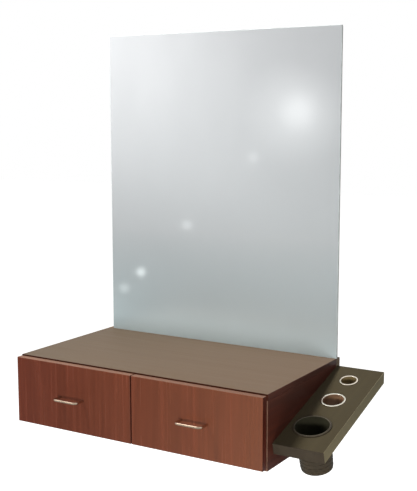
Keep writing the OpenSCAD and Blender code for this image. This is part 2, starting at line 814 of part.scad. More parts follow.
wall_board();
top_panel();
bottom_panel();
side_panel(LEFT);  // left_side_panel
side_panel(RIGHT);  // right_side_panel
centre_divider();
carcass_dowels();
carcass_screws();
bay_runner(LEFT, LEFT);  // left_bay_outer_runner
bay_runner(LEFT, RIGHT);  // left_bay_inner_runner
bay_runner(RIGHT, LEFT);  // right_bay_inner_runner
bay_runner(RIGHT, RIGHT);  // right_bay_outer_runner
bay_runner_screws();
front_roller_rivets();
front_rollers(LEFT);  // left_front_rollers
front_rollers(RIGHT);  // right_front_rollers
tool_board();
tool_board_screws();
dryer_cup();
iron_sleeve(large_at, large_bore, large_rim_d);  // large_iron_sleeve
iron_sleeve(small_at, small_bore, small_rim_d);  // small_iron_sleeve
mirror_glass();
mirror_backer();
mirror_cleat();
wall_cleat();
mirror_cleat_screws();
mirror_spacers();
drawer_front(LEFT);  // left_drawer_front
drawer_side(LEFT, LEFT);  // left_drawer_outer_side
drawer_side(LEFT, RIGHT);  // left_drawer_inner_side
drawer_end(LEFT, front_back_y);  // left_drawer_box_front
drawer_end(LEFT, box_back_y - box_t);  // left_drawer_back
drawer_floor(LEFT);  // left_drawer_floor
drawer_runner(LEFT, LEFT);  // left_drawer_outer_runner
drawer_runner(LEFT, RIGHT);  // left_drawer_inner_runner
color("#c8c8c8") translate([bay_x(LEFT), 0, 0]) for (hand = [LEFT, RIGHT]) runner_screw_set(hand);  // left_drawer_runner_screws
drawer_rivets(LEFT);  // left_drawer_rivets
drawer_rollers(LEFT);  // left_drawer_rollers
color("#c8c8c8") translate([bay_x(LEFT), 0, 0]) for (hand = [LEFT, RIGHT]) corner_screw_set(hand);  // left_drawer_corner_screws
color("#c8c8c8") translate([bay_x(LEFT), 0, 0]) front_screw_set();  // left_drawer_front_screws
drawer_bumpers(LEFT);  // left_drawer_bumpers
handle(LEFT);  // left_drawer_handle
drawer_handle_screws(LEFT);  // left_drawer_handle_screws
drawer_front(RIGHT);  // right_drawer_front
drawer_side(RIGHT, RIGHT);  // right_drawer_outer_side
drawer_side(RIGHT, LEFT);  // right_drawer_inner_side
drawer_end(RIGHT, front_back_y);  // right_drawer_box_front
drawer_end(RIGHT, box_back_y - box_t);  // right_drawer_back
drawer_floor(RIGHT);  // right_drawer_floor
drawer_runner(RIGHT, RIGHT);  // right_drawer_outer_runner
drawer_runner(RIGHT, LEFT);  // right_drawer_inner_runner
color("#c8c8c8") translate([bay_x(RIGHT), 0, 0]) for (hand = [LEFT, RIGHT]) runner_screw_set(hand);  // right_drawer_runner_screws
drawer_rivets(RIGHT);  // right_drawer_rivets
drawer_rollers(RIGHT);  // right_drawer_rollers
color("#c8c8c8") translate([bay_x(RIGHT), 0, 0]) for (hand = [LEFT, RIGHT]) corner_screw_set(hand);  // right_drawer_corner_screws
color("#c8c8c8") translate([bay_x(RIGHT), 0, 0]) front_screw_set();  // right_drawer_front_screws
drawer_bumpers(RIGHT);  // right_drawer_bumpers
handle(RIGHT);  // right_drawer_handle
drawer_handle_screws(RIGHT);  // right_drawer_handle_screws
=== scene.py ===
"""Looks of a wall-mounted styling station: its cabinet, drawers, tool board and mirror."""

import json
import logging
import math
from collections.abc import Callable
from dataclasses import dataclass, replace
from enum import Enum
from typing import ClassVar

import bmesh
import bpy
from mathutils import Matrix, Vector

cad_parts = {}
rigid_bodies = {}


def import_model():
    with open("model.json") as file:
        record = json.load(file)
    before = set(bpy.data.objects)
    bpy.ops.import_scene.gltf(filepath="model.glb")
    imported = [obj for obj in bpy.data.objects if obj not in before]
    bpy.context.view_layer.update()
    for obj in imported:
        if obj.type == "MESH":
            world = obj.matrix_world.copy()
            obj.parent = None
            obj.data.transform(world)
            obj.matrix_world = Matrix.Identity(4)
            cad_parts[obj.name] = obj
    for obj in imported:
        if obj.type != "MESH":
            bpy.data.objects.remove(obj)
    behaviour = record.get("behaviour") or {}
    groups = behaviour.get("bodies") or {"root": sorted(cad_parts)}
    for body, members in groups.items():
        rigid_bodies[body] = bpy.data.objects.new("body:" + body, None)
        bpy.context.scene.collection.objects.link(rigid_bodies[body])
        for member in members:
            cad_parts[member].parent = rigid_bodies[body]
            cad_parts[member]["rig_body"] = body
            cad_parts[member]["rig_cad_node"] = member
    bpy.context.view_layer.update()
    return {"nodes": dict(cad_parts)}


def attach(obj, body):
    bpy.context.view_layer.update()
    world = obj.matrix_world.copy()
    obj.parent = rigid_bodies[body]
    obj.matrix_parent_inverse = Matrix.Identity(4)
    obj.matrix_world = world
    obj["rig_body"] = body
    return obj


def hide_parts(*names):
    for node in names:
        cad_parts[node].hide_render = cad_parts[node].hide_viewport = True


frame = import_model()

LOG = logging.getLogger("styling_station")
IMAGE_W = 417
IMAGE_H = 491
MM = 0.001

CABINET_END = 0.39
TOOL_SLOPE = math.radians(15.7)

MERGE_GAP = 0.002 * MM
TOUCH = 0.1 * MM
LONG_EDGE = 8 * MM
BAND_STEPS = 3
FLAT_ANGLE = math.radians(0.2)
SMOOTH_ANGLE = math.radians(32)
CORNER_ANGLE = math.radians(40)

GRAIN_DRAW = 0.035
NOISE_SPAN = (0.3, 0.7)

Colour = tuple[int, int, int]
Place = tuple[float, float, float]
Pixel = tuple[float, float]
Piece = bpy.types.Object
Edge = bmesh.types.BMEdge
Face = bpy.types.MeshPolygon
Socket = bpy.types.NodeSocket

FRONTWARD: Place = (0.0, -1.0, 0.0)
LEFTWARD: Place = (-1.0, 0.0, 0.0)
RIGHTWARD: Place = (1.0, 0.0, 0.0)
UPWARD: Place = (0.0, 0.0, 1.0)


class Side(Enum):
    """The two halves of the station, seen from the front."""

    LEFT = -1
    RIGHT = 1

    @property
    def word(self) -> str:
        """The word that starts the names of this half's parts."""
        return self.name.lower()


class Grain(Enum):
    """The way that a printed wood grain runs, as the stretch of its pattern along X, Y and Z."""

    ACROSS = (GRAIN_DRAW, 1.0, 1.0)
    DEEP = (1.0, GRAIN_DRAW, 1.0)
    UPRIGHT = (1.0, 1.0, GRAIN_DRAW)


def linear(colour: Colour) -> tuple[float, float, float, float]:
    """Turns a colour as it is seen, 0 to 255, into the light values that shaders use.

    Args:
        colour: Red, green and blue from 0 to 255.

    Returns:
        Red, green, blue and an opacity of 1, each from 0 to 1.
    """
    shares = [channel / 255 for channel in colour]
    light = [s / 12.92 if s <= 0.04045 else ((s + 0.055) / 1.055) ** 2.4 for s in shares]
    return (light[0], light[1], light[2], 1.0)


def shaded(colour: Colour, factor: float) -> Colour:
    """Lightens or darkens a colour.

    Args:
        colour: Red, green and blue from 0 to 255.
        factor: Above 1 lightens and below 1 darkens.

    Returns:
        The new colour, kept within 0 to 255.
    """
    red, green, blue = (min(255, round(channel * factor)) for channel in colour)
    return (red, green, blue)


class Nodes:
    """The node tree of a material or of the world, with a short method for each kind of sum in it."""

    def __init__(self, owner: bpy.types.ID, surface: str) -> None:
        """Takes up the nodes of a new material or world.

        Args:
            owner: The material or the world.
            surface: The name of its surface node.
        """
        owner.use_nodes = True
        self.tree = owner.node_tree
        self.surface = self.tree.nodes[surface]

    def node(self, kind: str, **settings: object) -> bpy.types.Node:
        """Adds a node.

        Args:
            kind: The node's type.
            **settings: Properties to set on it.

        Returns:
            The node.
        """
        made = self.tree.nodes.new(kind)
        for setting, value in settings.items():
            setattr(made, setting, value)
        return made

    def put(self, socket: Socket, value: object) -> None:
        """Links an input to a socket, or sets it to a plain value.

        Args:
            socket: The input.
            value: The socket or the plain value.
        """
        if isinstance(value, bpy.types.NodeSocket):
            self.tree.links.new(value, socket)
        else:
            socket.default_value = value

    def feed(self, node: bpy.types.Node, **values: object) -> None:
        """Sets or links a node's inputs by name, where an underscore stands for a space.

        Args:
            node: The node whose inputs are fed.
            **values: A socket to link, or a plain value to set, for each input.
        """
        for name, value in values.items():
            self.put(node.inputs[name.replace("_", " ")], value)

    def ranged(self, value: Socket, low: float, high: float,
               to_low: float = 0.0, to_high: float = 1.0) -> Socket:
        """Stretches a value's range.

        Args:
            value: The value that is stretched.
            low: The value that becomes to_low.
            high: The value that becomes to_high.
            to_low: The new low end.
            to_high: The new high end.

        Returns:
            The stretched value, kept between its new ends.
        """
        made = self.node("ShaderNodeMapRange")
        self.feed(made, Value=value, From_Min=low, From_Max=high, To_Min=to_low, To_Max=to_high)
        return made.outputs["Result"]

    def maths(self, kind: str, first: object, second: object = 0.0) -> Socket:
        """Works out one sum of two values.

        Args:
            kind: The kind of sum.
            first: The first value, a socket or a number.
            second: The second value, given in the same way.

        Returns:
            The sum as a value socket.
        """
        made = self.node("ShaderNodeMath", operation=kind)
        for socket, value in zip(made.inputs, (first, second)):
            self.put(socket, value)
        return made.outputs[0]

    def mixed(self, share: object, low: object, high: object) -> Socket:
        """Mixes two colours.

        Args:
            share: The share of high, a socket or a number.
            low: The first colour, a socket or red, green and blue from 0 to 255.
            high: The second colour, given in the same way.

        Returns:
            The mixed colour as a socket.
        """
        made = self.node("ShaderNodeMix", data_type="RGBA")
        for number, value in zip((0, 6, 7), (share, low, high)):
            self.put(made.inputs[number], linear(value) if isinstance(value, tuple) else value)
        return made.outputs[2]


class Shader(Nodes):
    """The nodes of a new material, with a short method for each kind of pattern that the finishes use."""

    def __init__(self, name: str) -> None:
        """Starts a material that holds one plain surface shader."""
        self.material = bpy.data.materials.new(name)
        super().__init__(self.material, "Principled BSDF")

    def place(self, stretch: Place = (1.0, 1.0, 1.0), turn: Place = (0.0, 0.0, 0.0)) -> Socket:
        """Gives the place on the piece, in metres.

        Args:
            stretch: Factors along X, Y and Z.
            turn: Turns about X, Y and Z in radians, applied after the stretch.

        Returns:
            The place as a vector socket.
        """
        coordinates = self.node("ShaderNodeTexCoord")
        mapping = self.node("ShaderNodeMapping", vector_type="TEXTURE")
        self.feed(mapping, Vector=coordinates.outputs["Object"], Rotation=turn,
                  Scale=[1 / factor for factor in stretch])
        return mapping.outputs["Vector"]

    def along(self, axis: str) -> Socket:
        """Gives the place on the piece along one axis, in metres.

        Args:
            axis: X, Y or Z.

        Returns:
            The place as a value socket.
        """
        apart = self.node("ShaderNodeSeparateXYZ")
        self.feed(apart, Vector=self.node("ShaderNodeTexCoord").outputs["Object"])
        return apart.outputs[axis]

    def noise(self, place: Socket, per_metre: float, detail: float = 3.0, rough: float = 0.55,
              warp: float = 0.0) -> Socket:
        """Gives a cloudy pattern from 0 to 1, most of which lies within NOISE_SPAN.

        Args:
            place: Where the pattern is read.
            per_metre: How many clouds there are in a metre.
            detail: Octaves of finer pattern.
            rough: How strong the finer octaves are.
            warp: How far the pattern is drawn about.

        Returns:
            The pattern as a value socket.
        """
        made = self.node("ShaderNodeTexNoise")
        self.feed(made, Vector=place, Scale=per_metre, Detail=detail, Roughness=rough, Distortion=warp)
        return made.outputs["Fac"]

    def roughen(self, pattern: Socket, middle: float, less: float, more: float) -> None:
        """Makes the surface's roughness follow a noise pattern.

        Args:
            pattern: The pattern.
            middle: The roughness that is asked for.
            less: How far the smoothest places lie under it.
            more: How far the roughest places lie over it.
        """
        self.feed(self.surface, Roughness=self.ranged(pattern, *NOISE_SPAN, middle - less, middle + more))

    def bump(self, height: Socket, depth: float, strength: float) -> None:
        """Presses a pattern into the surface.

        Args:
            height: The pattern, from 0 to 1.
            depth: Its depth in metres.
            strength: How much of it shows.
        """
        made = self.node("ShaderNodeBump")
        self.feed(made, Height=height, Distance=depth, Strength=strength)
        self.feed(self.surface, Normal=made.outputs["Normal"])


class Finish:
    """What every finish can do: make its material once, and dress a piece in it."""

    name: str
    made: ClassVar[dict[str, bpy.types.Material]] = {}

    def shader(self) -> Shader:
        """Builds the finish's nodes."""
        raise NotImplementedError

    def material(self) -> bpy.types.Material:
        """Gives the finish's material, made at the first call.

        Returns:
            The material.
        """
        if self.name not in self.made:
            self.made[self.name] = self.shader().material
        return self.made[self.name]

    def dress(self, piece: Piece, slot: int = 0) -> None:
        """Puts the finish into one of a piece's material slots, added where it is missing.

        Args:
            piece: The piece.
            slot: The number of the slot.
        """
        while len(piece.material_slots) <= slot:
            piece.data.materials.append(None)
        piece.material_slots[slot].material = self.material()


@dataclass(frozen=True)
class WoodPrint(Finish):
    """A wood laminate: broad figure and fine streaks along the grain, short pores, a satin face, and painted
    light that lightens it towards the station's right end.

    Attributes:
        name: The material's name.
        ground: The middle colour.
        light: The colour of the pale streaks.
        dark: The colour of the dark streaks.
        grain: The way that the grain runs.
        roughness: How matt the face is, from 0 to 1.
        figure: Broad streaks in a metre.
        streaks: Fine streaks for each broad one.
        pores: Pores in a metre.
        pore_draw: How much shorter the pores are than the streaks.
        depth: Depth of the pores in metres.
        contrast: How strongly the streaks show, from 0 to 1.
        turn: Turn of the grain about X in radians, on a sloping board.
        specular: How strongly the face shines, from 0 to 1.
        faded: The paler colour that the print shifts towards at the station's right end. This is painted
            light, in place of the light and sheen that fall stronger there.
        fade: How far the painted light shifts it there, from 0 to 1.
    """

    name: str
    ground: Colour
    light: Colour
    dark: Colour
    grain: Grain
    roughness: float = 0.42
    figure: float = 34.0
    streaks: float = 3.6
    pores: float = 1150.0
    pore_draw: float = 2.6
    depth: float = 0.04 * MM
    contrast: float = 1.0
    turn: float = 0.0
    specular: float = 0.5
    faded: Colour = (155, 107, 72)
    fade: float = 0.0

    def shader(self) -> Shader:
        """Builds the grain: figure, streaks, pores, and their roughness and depth.

        Returns:
            The material's nodes.
        """
        s = Shader(self.name)
        turn = (self.turn, 0.0, 0.0)
        along = s.place(self.grain.value, turn)
        broad = s.noise(along, self.figure, detail=2.5, rough=0.5, warp=0.6)
        streak = s.noise(along, self.streaks * self.figure, detail=2.5, rough=0.5, warp=0.25)
        pore_draw = tuple(min(1.0, self.pore_draw * factor) for factor in self.grain.value)
        pores = s.ranged(s.noise(s.place(pore_draw, turn), self.pores, detail=2.0), 0.57, 0.70)
        most_pale = 0.5 * self.contrast + 0.3
        most_dark = 0.5 * self.contrast + 0.2
        pore_dark = 0.4 * self.contrast
        pale = s.mixed(s.ranged(broad, 0.40, 0.68, 0.0, most_pale), self.ground, self.light)
        deep = s.mixed(s.ranged(streak, 0.36, 0.66, most_dark, 0.0), pale, self.dark)
        print_colour = s.mixed(s.maths("MULTIPLY", pores, pore_dark), deep, self.dark)
        # Painted light: the colour shifts along X towards a paler colour, strongest at the station's right
        # end.
        if self.fade:
            share = s.ranged(s.along("X"), -CABINET_END, CABINET_END, 0.0, self.fade)
            print_colour = s.mixed(share, print_colour, self.faded)
        s.feed(s.surface, Base_Color=print_colour, Specular_IOR_Level=self.specular)
        s.roughen(streak, self.roughness, 0.04, 0.06)
        s.bump(s.maths("SUBTRACT", s.maths("MULTIPLY", streak, 0.3), pores), self.depth, 0.5)
        return s


@dataclass(frozen=True)
class ChipBoard(Finish):
    """Pressed wood chips under a thin coat or raw: flakes of three shades, with pits between them.

    Attributes:
        name: The material's name.
        ground: The colour of most flakes.
        light: The colour of the palest flakes.
        dark: The colour of the gaps.
        per_metre: Flakes in a metre.
        flatness: How much flatter a flake is than wide.
        clouds: Clouds of gaps for each flake.
        roughness: How matt the surface is, from 0 to 1.
        depth: Depth of the pits in metres.
    """

    name: str
    ground: Colour
    light: Colour
    dark: Colour
    per_metre: float = 420.0
    flatness: float = 1.8
    clouds: float = 0.35
    roughness: float = 0.8
    depth: float = 0.15 * MM

    def shader(self) -> Shader:
        """Builds the flakes, the gaps and their depth.

        Returns:
            The material's nodes.
        """
        s = Shader(self.name)
        cells = s.node("ShaderNodeTexVoronoi")
        s.feed(cells, Vector=s.place((1.0, 1.0, self.flatness)), Scale=self.per_metre)
        flakes = cells.outputs["Color"]
        cloud = s.noise(s.place(), self.clouds * self.per_metre, detail=4.0)
        tone = s.mixed(s.ranged(flakes, 0.2, 0.9), self.ground, self.light)
        s.feed(s.surface, Base_Color=s.mixed(s.ranged(cloud, 0.42, 0.7, 0.0, 0.7), tone, self.dark))
        s.roughen(cloud, self.roughness, 0.08, 0.08)
        s.bump(s.maths("ADD", s.maths("MULTIPLY", flakes, 0.5), cloud), self.depth, 0.4)
        return s


@dataclass(frozen=True)
class Moulded(Finish):
    """A moulded or sprayed skin: one colour with faint clouds, fine texture, and a soft shine.

    Attributes:
        name: The material's name.
        ground: The colour.
        roughness: How matt it is, from 0 to 1.
        per_metre: Grains of the texture in a metre.
        depth: Depth of the texture in metres.
        clouds: Clouds in a metre.
        variation: How much the colour clouds, from 0 to 1.
        through: Light that shines through the surface, from 0 to 1.
        through_depth: How deep that light goes, in metres.
        specular: How strongly the surface shines, from 0 to 1.
    """

    name: str
    ground: Colour
    roughness: float = 0.45
    per_metre: float = 1500.0
    depth: float = 0.04 * MM
    clouds: float = 22.0
    variation: float = 0.12
    through: float = 0.0
    through_depth: float = 2 * MM
    specular: float = 0.5

    def shader(self) -> Shader:
        """Builds the clouds, the texture and the shine.

        Returns:
            The material's nodes.
        """
        s = Shader(self.name)
        cloud = s.noise(s.place(), self.clouds)
        texture = s.noise(s.place(), self.per_metre, detail=2.0, rough=0.5)
        darkest = shaded(self.ground, 1 - self.variation)
        palest = shaded(self.ground, 1 + self.variation)
        s.feed(s.surface, Base_Color=s.mixed(s.ranged(cloud, *NOISE_SPAN), darkest, palest))
        s.feed(s.surface, Specular_IOR_Level=self.specular, Subsurface_Weight=self.through,
               Subsurface_Scale=self.through_depth)
        s.roughen(cloud, self.roughness, 0.05, 0.07)
        s.bump(texture, self.depth, 0.5)
        return s


@dataclass(frozen=True)
class Metal(Finish):
    """A bare or plated metal: fine lines along one way, clouds of wear, and a set shine.

    Attributes:
        name: The material's name.
        ground: The metal's colour.
        roughness: How dull it is, from 0 to 1.
        lines: The way that its fine lines run.
        per_metre: Lines in a metre.
        depth: Depth of the lines in metres.
        scratch: How much of that depth shows, from 0 to 1.
        wear: Clouds of wear in a metre.
        tarnish: How far the colour darkens in the worn clouds, from 0 to 1.
    """

    name: str
    ground: Colour
    roughness: float = 0.15
    lines: Grain = Grain.ACROSS
    per_metre: float = 3200.0
    depth: float = 0.01 * MM
    scratch: float = 0.2
    wear: float = 90.0
    tarnish: float = 0.12

    def shader(self) -> Shader:
        """Builds the lines, the clouds and their roughness.

        Returns:
            The material's nodes.
        """
        s = Shader(self.name)
        line = s.noise(s.place(self.lines.value), self.per_metre, detail=2.0)
        cloud = s.noise(s.place(), self.wear, detail=4.0, rough=0.6)
        worn = shaded(self.ground, 1 - self.tarnish)
        smoothest = max(0.02, self.roughness - 0.05)
        dullness = s.ranged(s.maths("ADD", line, cloud), 0.7, 1.3, smoothest, self.roughness + 0.08)
        s.feed(s.surface, Base_Color=s.mixed(s.ranged(cloud, 0.45, 0.75), self.ground, worn),
               Roughness=dullness, Metallic=1.0)
        s.bump(line, self.depth, self.scratch)
        return s


@dataclass(frozen=True)
class Silvering(Finish):
    """The face of the mirror: hazy silvering behind a clear pane, with a painted reflection along its lower
    edge. This is a pale matt colour in place of what the mirror reflects there.

    Attributes:
        name: The material's name.
        ground: The colour of the silvering behind its glass.
        tint: The colour of the painted reflection, which the silvering shifts towards near its lower edge.
        clouds: Clouds of haze in a metre.
        smears: Smears in a metre, which vary the haze and the painted reflection.
        smear_draw: Stretch of their pattern along Z. Below 1 draws them out upright.
        haze: The lowest roughness of the silvering.
        haze_more: How much rougher the haziest places are.
        pane: The share of the clear pane's own reflection, from 0 to 1.
        pane_haze: The roughness of the pane.
        film: How strongly the painted reflection, a pale matt colour in place of what the mirror reflects,
            covers the lower edge, from 0 to 1.
        film_from: Height of the lower edge, in metres.
        film_to: Height at which the painted reflection ends, in metres.
        film_fall: How fast it thins upwards, as a power.
    """

    name: str
    ground: Colour
    tint: Colour
    clouds: float = 3.0
    smears: float = 14.0
    smear_draw: float = 0.35
    haze: float = 0.33
    haze_more: float = 0.05
    pane: float = 1.0
    pane_haze: float = 0.04
    film: float = 0.84
    film_from: float = 0.0965
    film_to: float = 0.42
    film_fall: float = 2.2

    def shader(self) -> Shader:
        """Builds the silvering, its haze, the painted reflection on it and the pane over it.

        Returns:
            The material's nodes.
        """
        s = Shader(self.name)
        cloud = s.noise(s.place(), self.clouds, detail=5.0, rough=0.6)
        smear = s.noise(s.place((1.0, 1.0, self.smear_draw)), self.smears, detail=4.0, rough=0.6)
        clear = s.mixed(s.ranged(cloud, *NOISE_SPAN), shaded(self.ground, 0.985), self.ground)
        # Painted reflection: towards the lower edge, the silvering turns into a pale matt colour in place of
        # what it reflects.
        share = s.ranged(s.along("Z"), self.film_from, self.film_to, 1.0, 0.0)
        haziest = self.haze + self.haze_more
        haze = s.ranged(s.maths("MULTIPLY", cloud, smear), 0.1, 0.4, self.haze, haziest)
        patches = s.ranged(smear, 0.2, 0.8, 0.9 * self.film, 1.1 * self.film)
        film = s.maths("MULTIPLY", s.maths("POWER", share, self.film_fall), patches)
        s.feed(s.surface, Base_Color=s.mixed(share, clear, self.tint), Roughness=haze,
               Metallic=s.maths("SUBTRACT", 1.0, film), Coat_Weight=self.pane, Coat_Roughness=self.pane_haze)
        return s


# The fronts carry painted light that lightens them towards the station's right end.
MAHOGANY = WoodPrint("mahogany_front", (104, 50, 34), (117, 55, 38), (87, 42, 31), Grain.UPRIGHT,
                     roughness=0.24, contrast=0.8, figure=24.0, specular=0.3, faded=(146, 108, 70), fade=0.16)
# Painted highlight: a paler copy of the front's print for its top edge faces, in place of the light that
# falls on them from above.
MAHOGANY_TOP_HIGHLIGHT = replace(MAHOGANY, name="mahogany_front_edge", ground=(127, 90, 71), light=(132, 95, 76),
                        dark=(118, 82, 64), contrast=0.3, specular=0.12, roughness=0.4, fade=0.0)
# Painted shade: a darker copy of the front's print for its side and bottom edge faces, which lie in shade.
MAHOGANY_END_SHADE = replace(MAHOGANY, name="mahogany_front_end", ground=(78, 34, 26), light=(90, 42, 32),
                       dark=(60, 26, 20), fade=0.0, specular=0.1)
MAHOGANY_SIDE = WoodPrint("mahogany_side", (81, 41, 32), (95, 51, 39), (62, 32, 26), Grain.DEEP,
                          contrast=0.7, specular=0.14)
MAHOGANY_BAND = replace(MAHOGANY_SIDE, name="mahogany_band", ground=(96, 56, 46), light=(114, 72, 60),
                        dark=(72, 38, 32), roughness=0.36)
# Painted highlight: a paler front band for the side panels, in place of the light on their rounded front
# edges.
MAHOGANY_RIM_HIGHLIGHT = replace(MAHOGANY_BAND, name="mahogany_rim", ground=(118, 88, 74), light=(130, 100, 86),
                       dark=(98, 70, 58))
# The worktop carries painted light that lightens it towards the station's right end.
WORKTOP = WoodPrint("worktop_laminate", (97, 82, 65), (105, 91, 75), (86, 71, 55), Grain.ACROSS,
                    roughness=0.55, contrast=0.45, specular=0.2, faded=(145, 118, 96), fade=0.35)
# Dark front band of the worktop: partly its own edge colour and partly painted shade of the gap behind the
# drawer fronts.
WORKTOP_BAND_SHADE = replace(WORKTOP, name="worktop_band", ground=(66, 32, 21), light=(76, 39, 27),
                       dark=(50, 24, 16), specular=0.05, fade=0.0)
TAUPE = WoodPrint("taupe_laminate", (75, 67, 50), (82, 74, 56), (65, 58, 43), Grain.DEEP,
                  roughness=0.58, contrast=0.35, turn=TOOL_SLOPE, specular=0.08)
# Painted highlight: a much paler copy of the taupe print for the tool board's right edge, in place of the
# light that falls on it.
TAUPE_BAND_HIGHLIGHT = replace(TAUPE, name="taupe_band", ground=(140, 131, 104), light=(150, 141, 114),
                     dark=(120, 112, 90))
# Painted shade: a darker copy of the taupe print for the tool board's front end, which lies in shade.
TAUPE_END_SHADE = replace(TAUPE, name="taupe_end", ground=(62, 55, 46), light=(69, 62, 52), dark=(54, 48, 40))
DARK_BOARD = ChipBoard("wall_board_coat", (114, 92, 70), (126, 104, 80), (92, 74, 56), roughness=0.7)
BACKER = ChipBoard("mirror_backer", (150, 138, 120), (166, 154, 134), (126, 114, 98), per_metre=600.0)
MELAMINE = WoodPrint("almond_melamine", (216, 202, 178), (226, 214, 192), (198, 180, 152), Grain.DEEP,
                     roughness=0.5, contrast=0.5)
MELAMINE_EDGE = replace(MELAMINE, name="almond_edging", ground=(206, 190, 164), roughness=0.4)
MELAMINE_FLOOR = replace(MELAMINE, name="almond_floor", ground=(208, 196, 172), grain=Grain.ACROSS,
                         roughness=0.6)
BEECH = WoodPrint("beech_dowel", (206, 172, 128), (218, 188, 146), (180, 142, 98), Grain.UPRIGHT,
                  roughness=0.6, figure=220.0)
EPOXY = Moulded("epoxy_coat", (222, 218, 206), roughness=0.38, per_metre=700.0, depth=0.06 * MM,
                variation=0.02)
NYLON = Moulded("roller_nylon", (236, 234, 226), roughness=0.4, per_metre=2400.0, variation=0.02,
                through=0.15)
CUP_PLASTIC = Moulded("cup_moulding", (61, 53, 42), roughness=0.5, per_metre=1900.0, variation=0.08,
                      specular=0.2)
# Painted shade: a darker copy of the cup's plastic for its inner wall and floor, where shade falls.
CUP_INSIDE_SHADE = replace(CUP_PLASTIC, name="cup_inside", ground=(52, 50, 38))
# Painted highlight: a paler copy of the cup's plastic for the top of its lip.
CUP_LIP_HIGHLIGHT = replace(CUP_PLASTIC, name="cup_lip", ground=(91, 85, 72))
# Painted reflection and painted shade: cloudy brown colours for the insides of the sleeves' tubes, in place
# of the reddish reflections and the shade inside them.
LARGE_PAINTED_INSIDE = Moulded("large_sleeve_liner", (122, 93, 70), roughness=0.4, per_metre=900.0, variation=0.3)
SMALL_PAINTED_INSIDE = replace(LARGE_PAINTED_INSIDE, name="small_sleeve_liner", ground=(113, 98, 68))
RUBBER = Moulded("spacer_rubber", (44, 43, 41), roughness=0.75, per_metre=2600.0, depth=0.08 * MM)
BUMPER = Moulded("bumper_gel", (214, 212, 202), roughness=0.25, per_metre=900.0, variation=0.02,
                 through=0.3)
CHROME = Metal("chrome_plate", (248, 237, 220), roughness=0.1, tarnish=0.05, scratch=0.08)
NICKEL = Metal("handle_nickel", (198, 174, 152), roughness=0.14, tarnish=0.1)
ZINC = Metal("zinc_plate", (196, 194, 186), roughness=0.3, tarnish=0.2, scratch=0.3)
ALUMINIUM = Metal("cleat_aluminium", (200, 202, 204), roughness=0.34, scratch=0.4)
# The mirror carries a painted reflection along its lower edge.
SILVERING = Silvering("mirror_silvering", (230, 231, 233), (191, 207, 210))
GLASS_EDGE = Moulded("glass_edge", (220, 232, 228), roughness=0.12, per_metre=300.0, depth=0.02 * MM)


def only(piece: Piece) -> None:
    """Selects this piece and nothing else, and makes it active.

    Args:
        piece: The piece.
    """
    bpy.ops.object.select_all(action="DESELECT")
    piece.select_set(True)
    bpy.context.view_layer.objects.active = piece


def copy_of(node: str, name: str) -> Piece:
    """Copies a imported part, merges its loose triangles and clears its stored normals.

    Args:
        node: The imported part's name.
        name: The copy's name.

    Returns:
        The copy, in object mode, with no parent.
    """
    only(frame["nodes"][node])
    bpy.ops.object.duplicate()
    piece = bpy.context.active_object
    piece.name = name
    del piece["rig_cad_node"], piece["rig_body"]
    bpy.ops.object.parent_clear(type="CLEAR_KEEP_TRANSFORM")
    bpy.ops.mesh.customdata_custom_splitnormals_clear()
    bpy.ops.object.mode_set(mode="EDIT")
    bpy.ops.mesh.select_all(action="SELECT")
    bpy.ops.mesh.remove_doubles(threshold=MERGE_GAP)
    bpy.ops.mesh.dissolve_limited(angle_limit=FLAT_ANGLE)
    bpy.ops.object.mode_set(mode="OBJECT")
    return piece


def dress_faces(piece: Piece, slot: int, finish: Finish, wanted: Callable[[Face], bool]) -> None:
    """Gives those faces of a piece that pass a test a finish of their own.

    Args:
        piece: The piece, in object mode.
        slot: The number of the material slot that the finish goes into.
        finish: The finish.
        wanted: Says whether a face is wanted.
    """
    finish.dress(piece, slot)
    for face in piece.data.polygons:
        if wanted(face):
            face.material_index = slot


def finish_piece(piece: Piece, body: str, nodes: tuple[str, ...] = ()) -> None:
    """Smooths a finished piece, keeps its flat faces flat, and hands it to the frame.

    Args:
        piece: The piece, in place.
        body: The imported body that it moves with.
        nodes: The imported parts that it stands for.
    """
    only(piece)
    bpy.ops.object.shade_smooth_by_angle(angle=SMOOTH_ANGLE)
    weights = piece.modifiers.new("face_weights", "WEIGHTED_NORMAL")
    weights.keep_sharp = True
    bpy.ops.object.modifier_apply(modifier=weights.name)
    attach(piece, body)
    if nodes:
        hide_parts(*nodes)
    LOG.info("%s: %d faces, rides on %s", piece.name, len(piece.data.polygons), body)


def is_corner(edge: Edge, shortest: float) -> bool:
    """Says whether an edge is a corner of at least this length, and not a line on a smooth face."""
    return edge.is_manifold and edge.calc_length() > shortest and edge.calc_face_angle(0.0) > CORNER_ANGLE


def ease(piece: Piece, radius: float, shortest: float,
         wanted: Callable[[Edge], bool] = lambda edge: True, steps: int = 2) -> None:
    """Rounds the corners of a piece.

    Args:
        piece: The piece, in object mode.
        radius: Radius of the rounding.
        shortest: Corners shorter than this stay sharp.
        wanted: Says which of the corners are rounded.
        steps: Facets of the rounding.
    """
    only(piece)
    bpy.ops.object.mode_set(mode="EDIT")
    bpy.ops.mesh.select_mode(type="EDGE")
    bpy.ops.mesh.select_all(action="DESELECT")
    mesh = bmesh.from_edit_mesh(piece.data)
    corners = [edge for edge in mesh.edges if is_corner(edge, shortest) and wanted(edge)]
    for corner in corners:
        corner.select_set(True)
    bmesh.update_edit_mesh(piece.data)
    if corners:
        bpy.ops.mesh.bevel(offset=radius, segments=steps, affect="EDGES")
    bpy.ops.object.mode_set(mode="OBJECT")


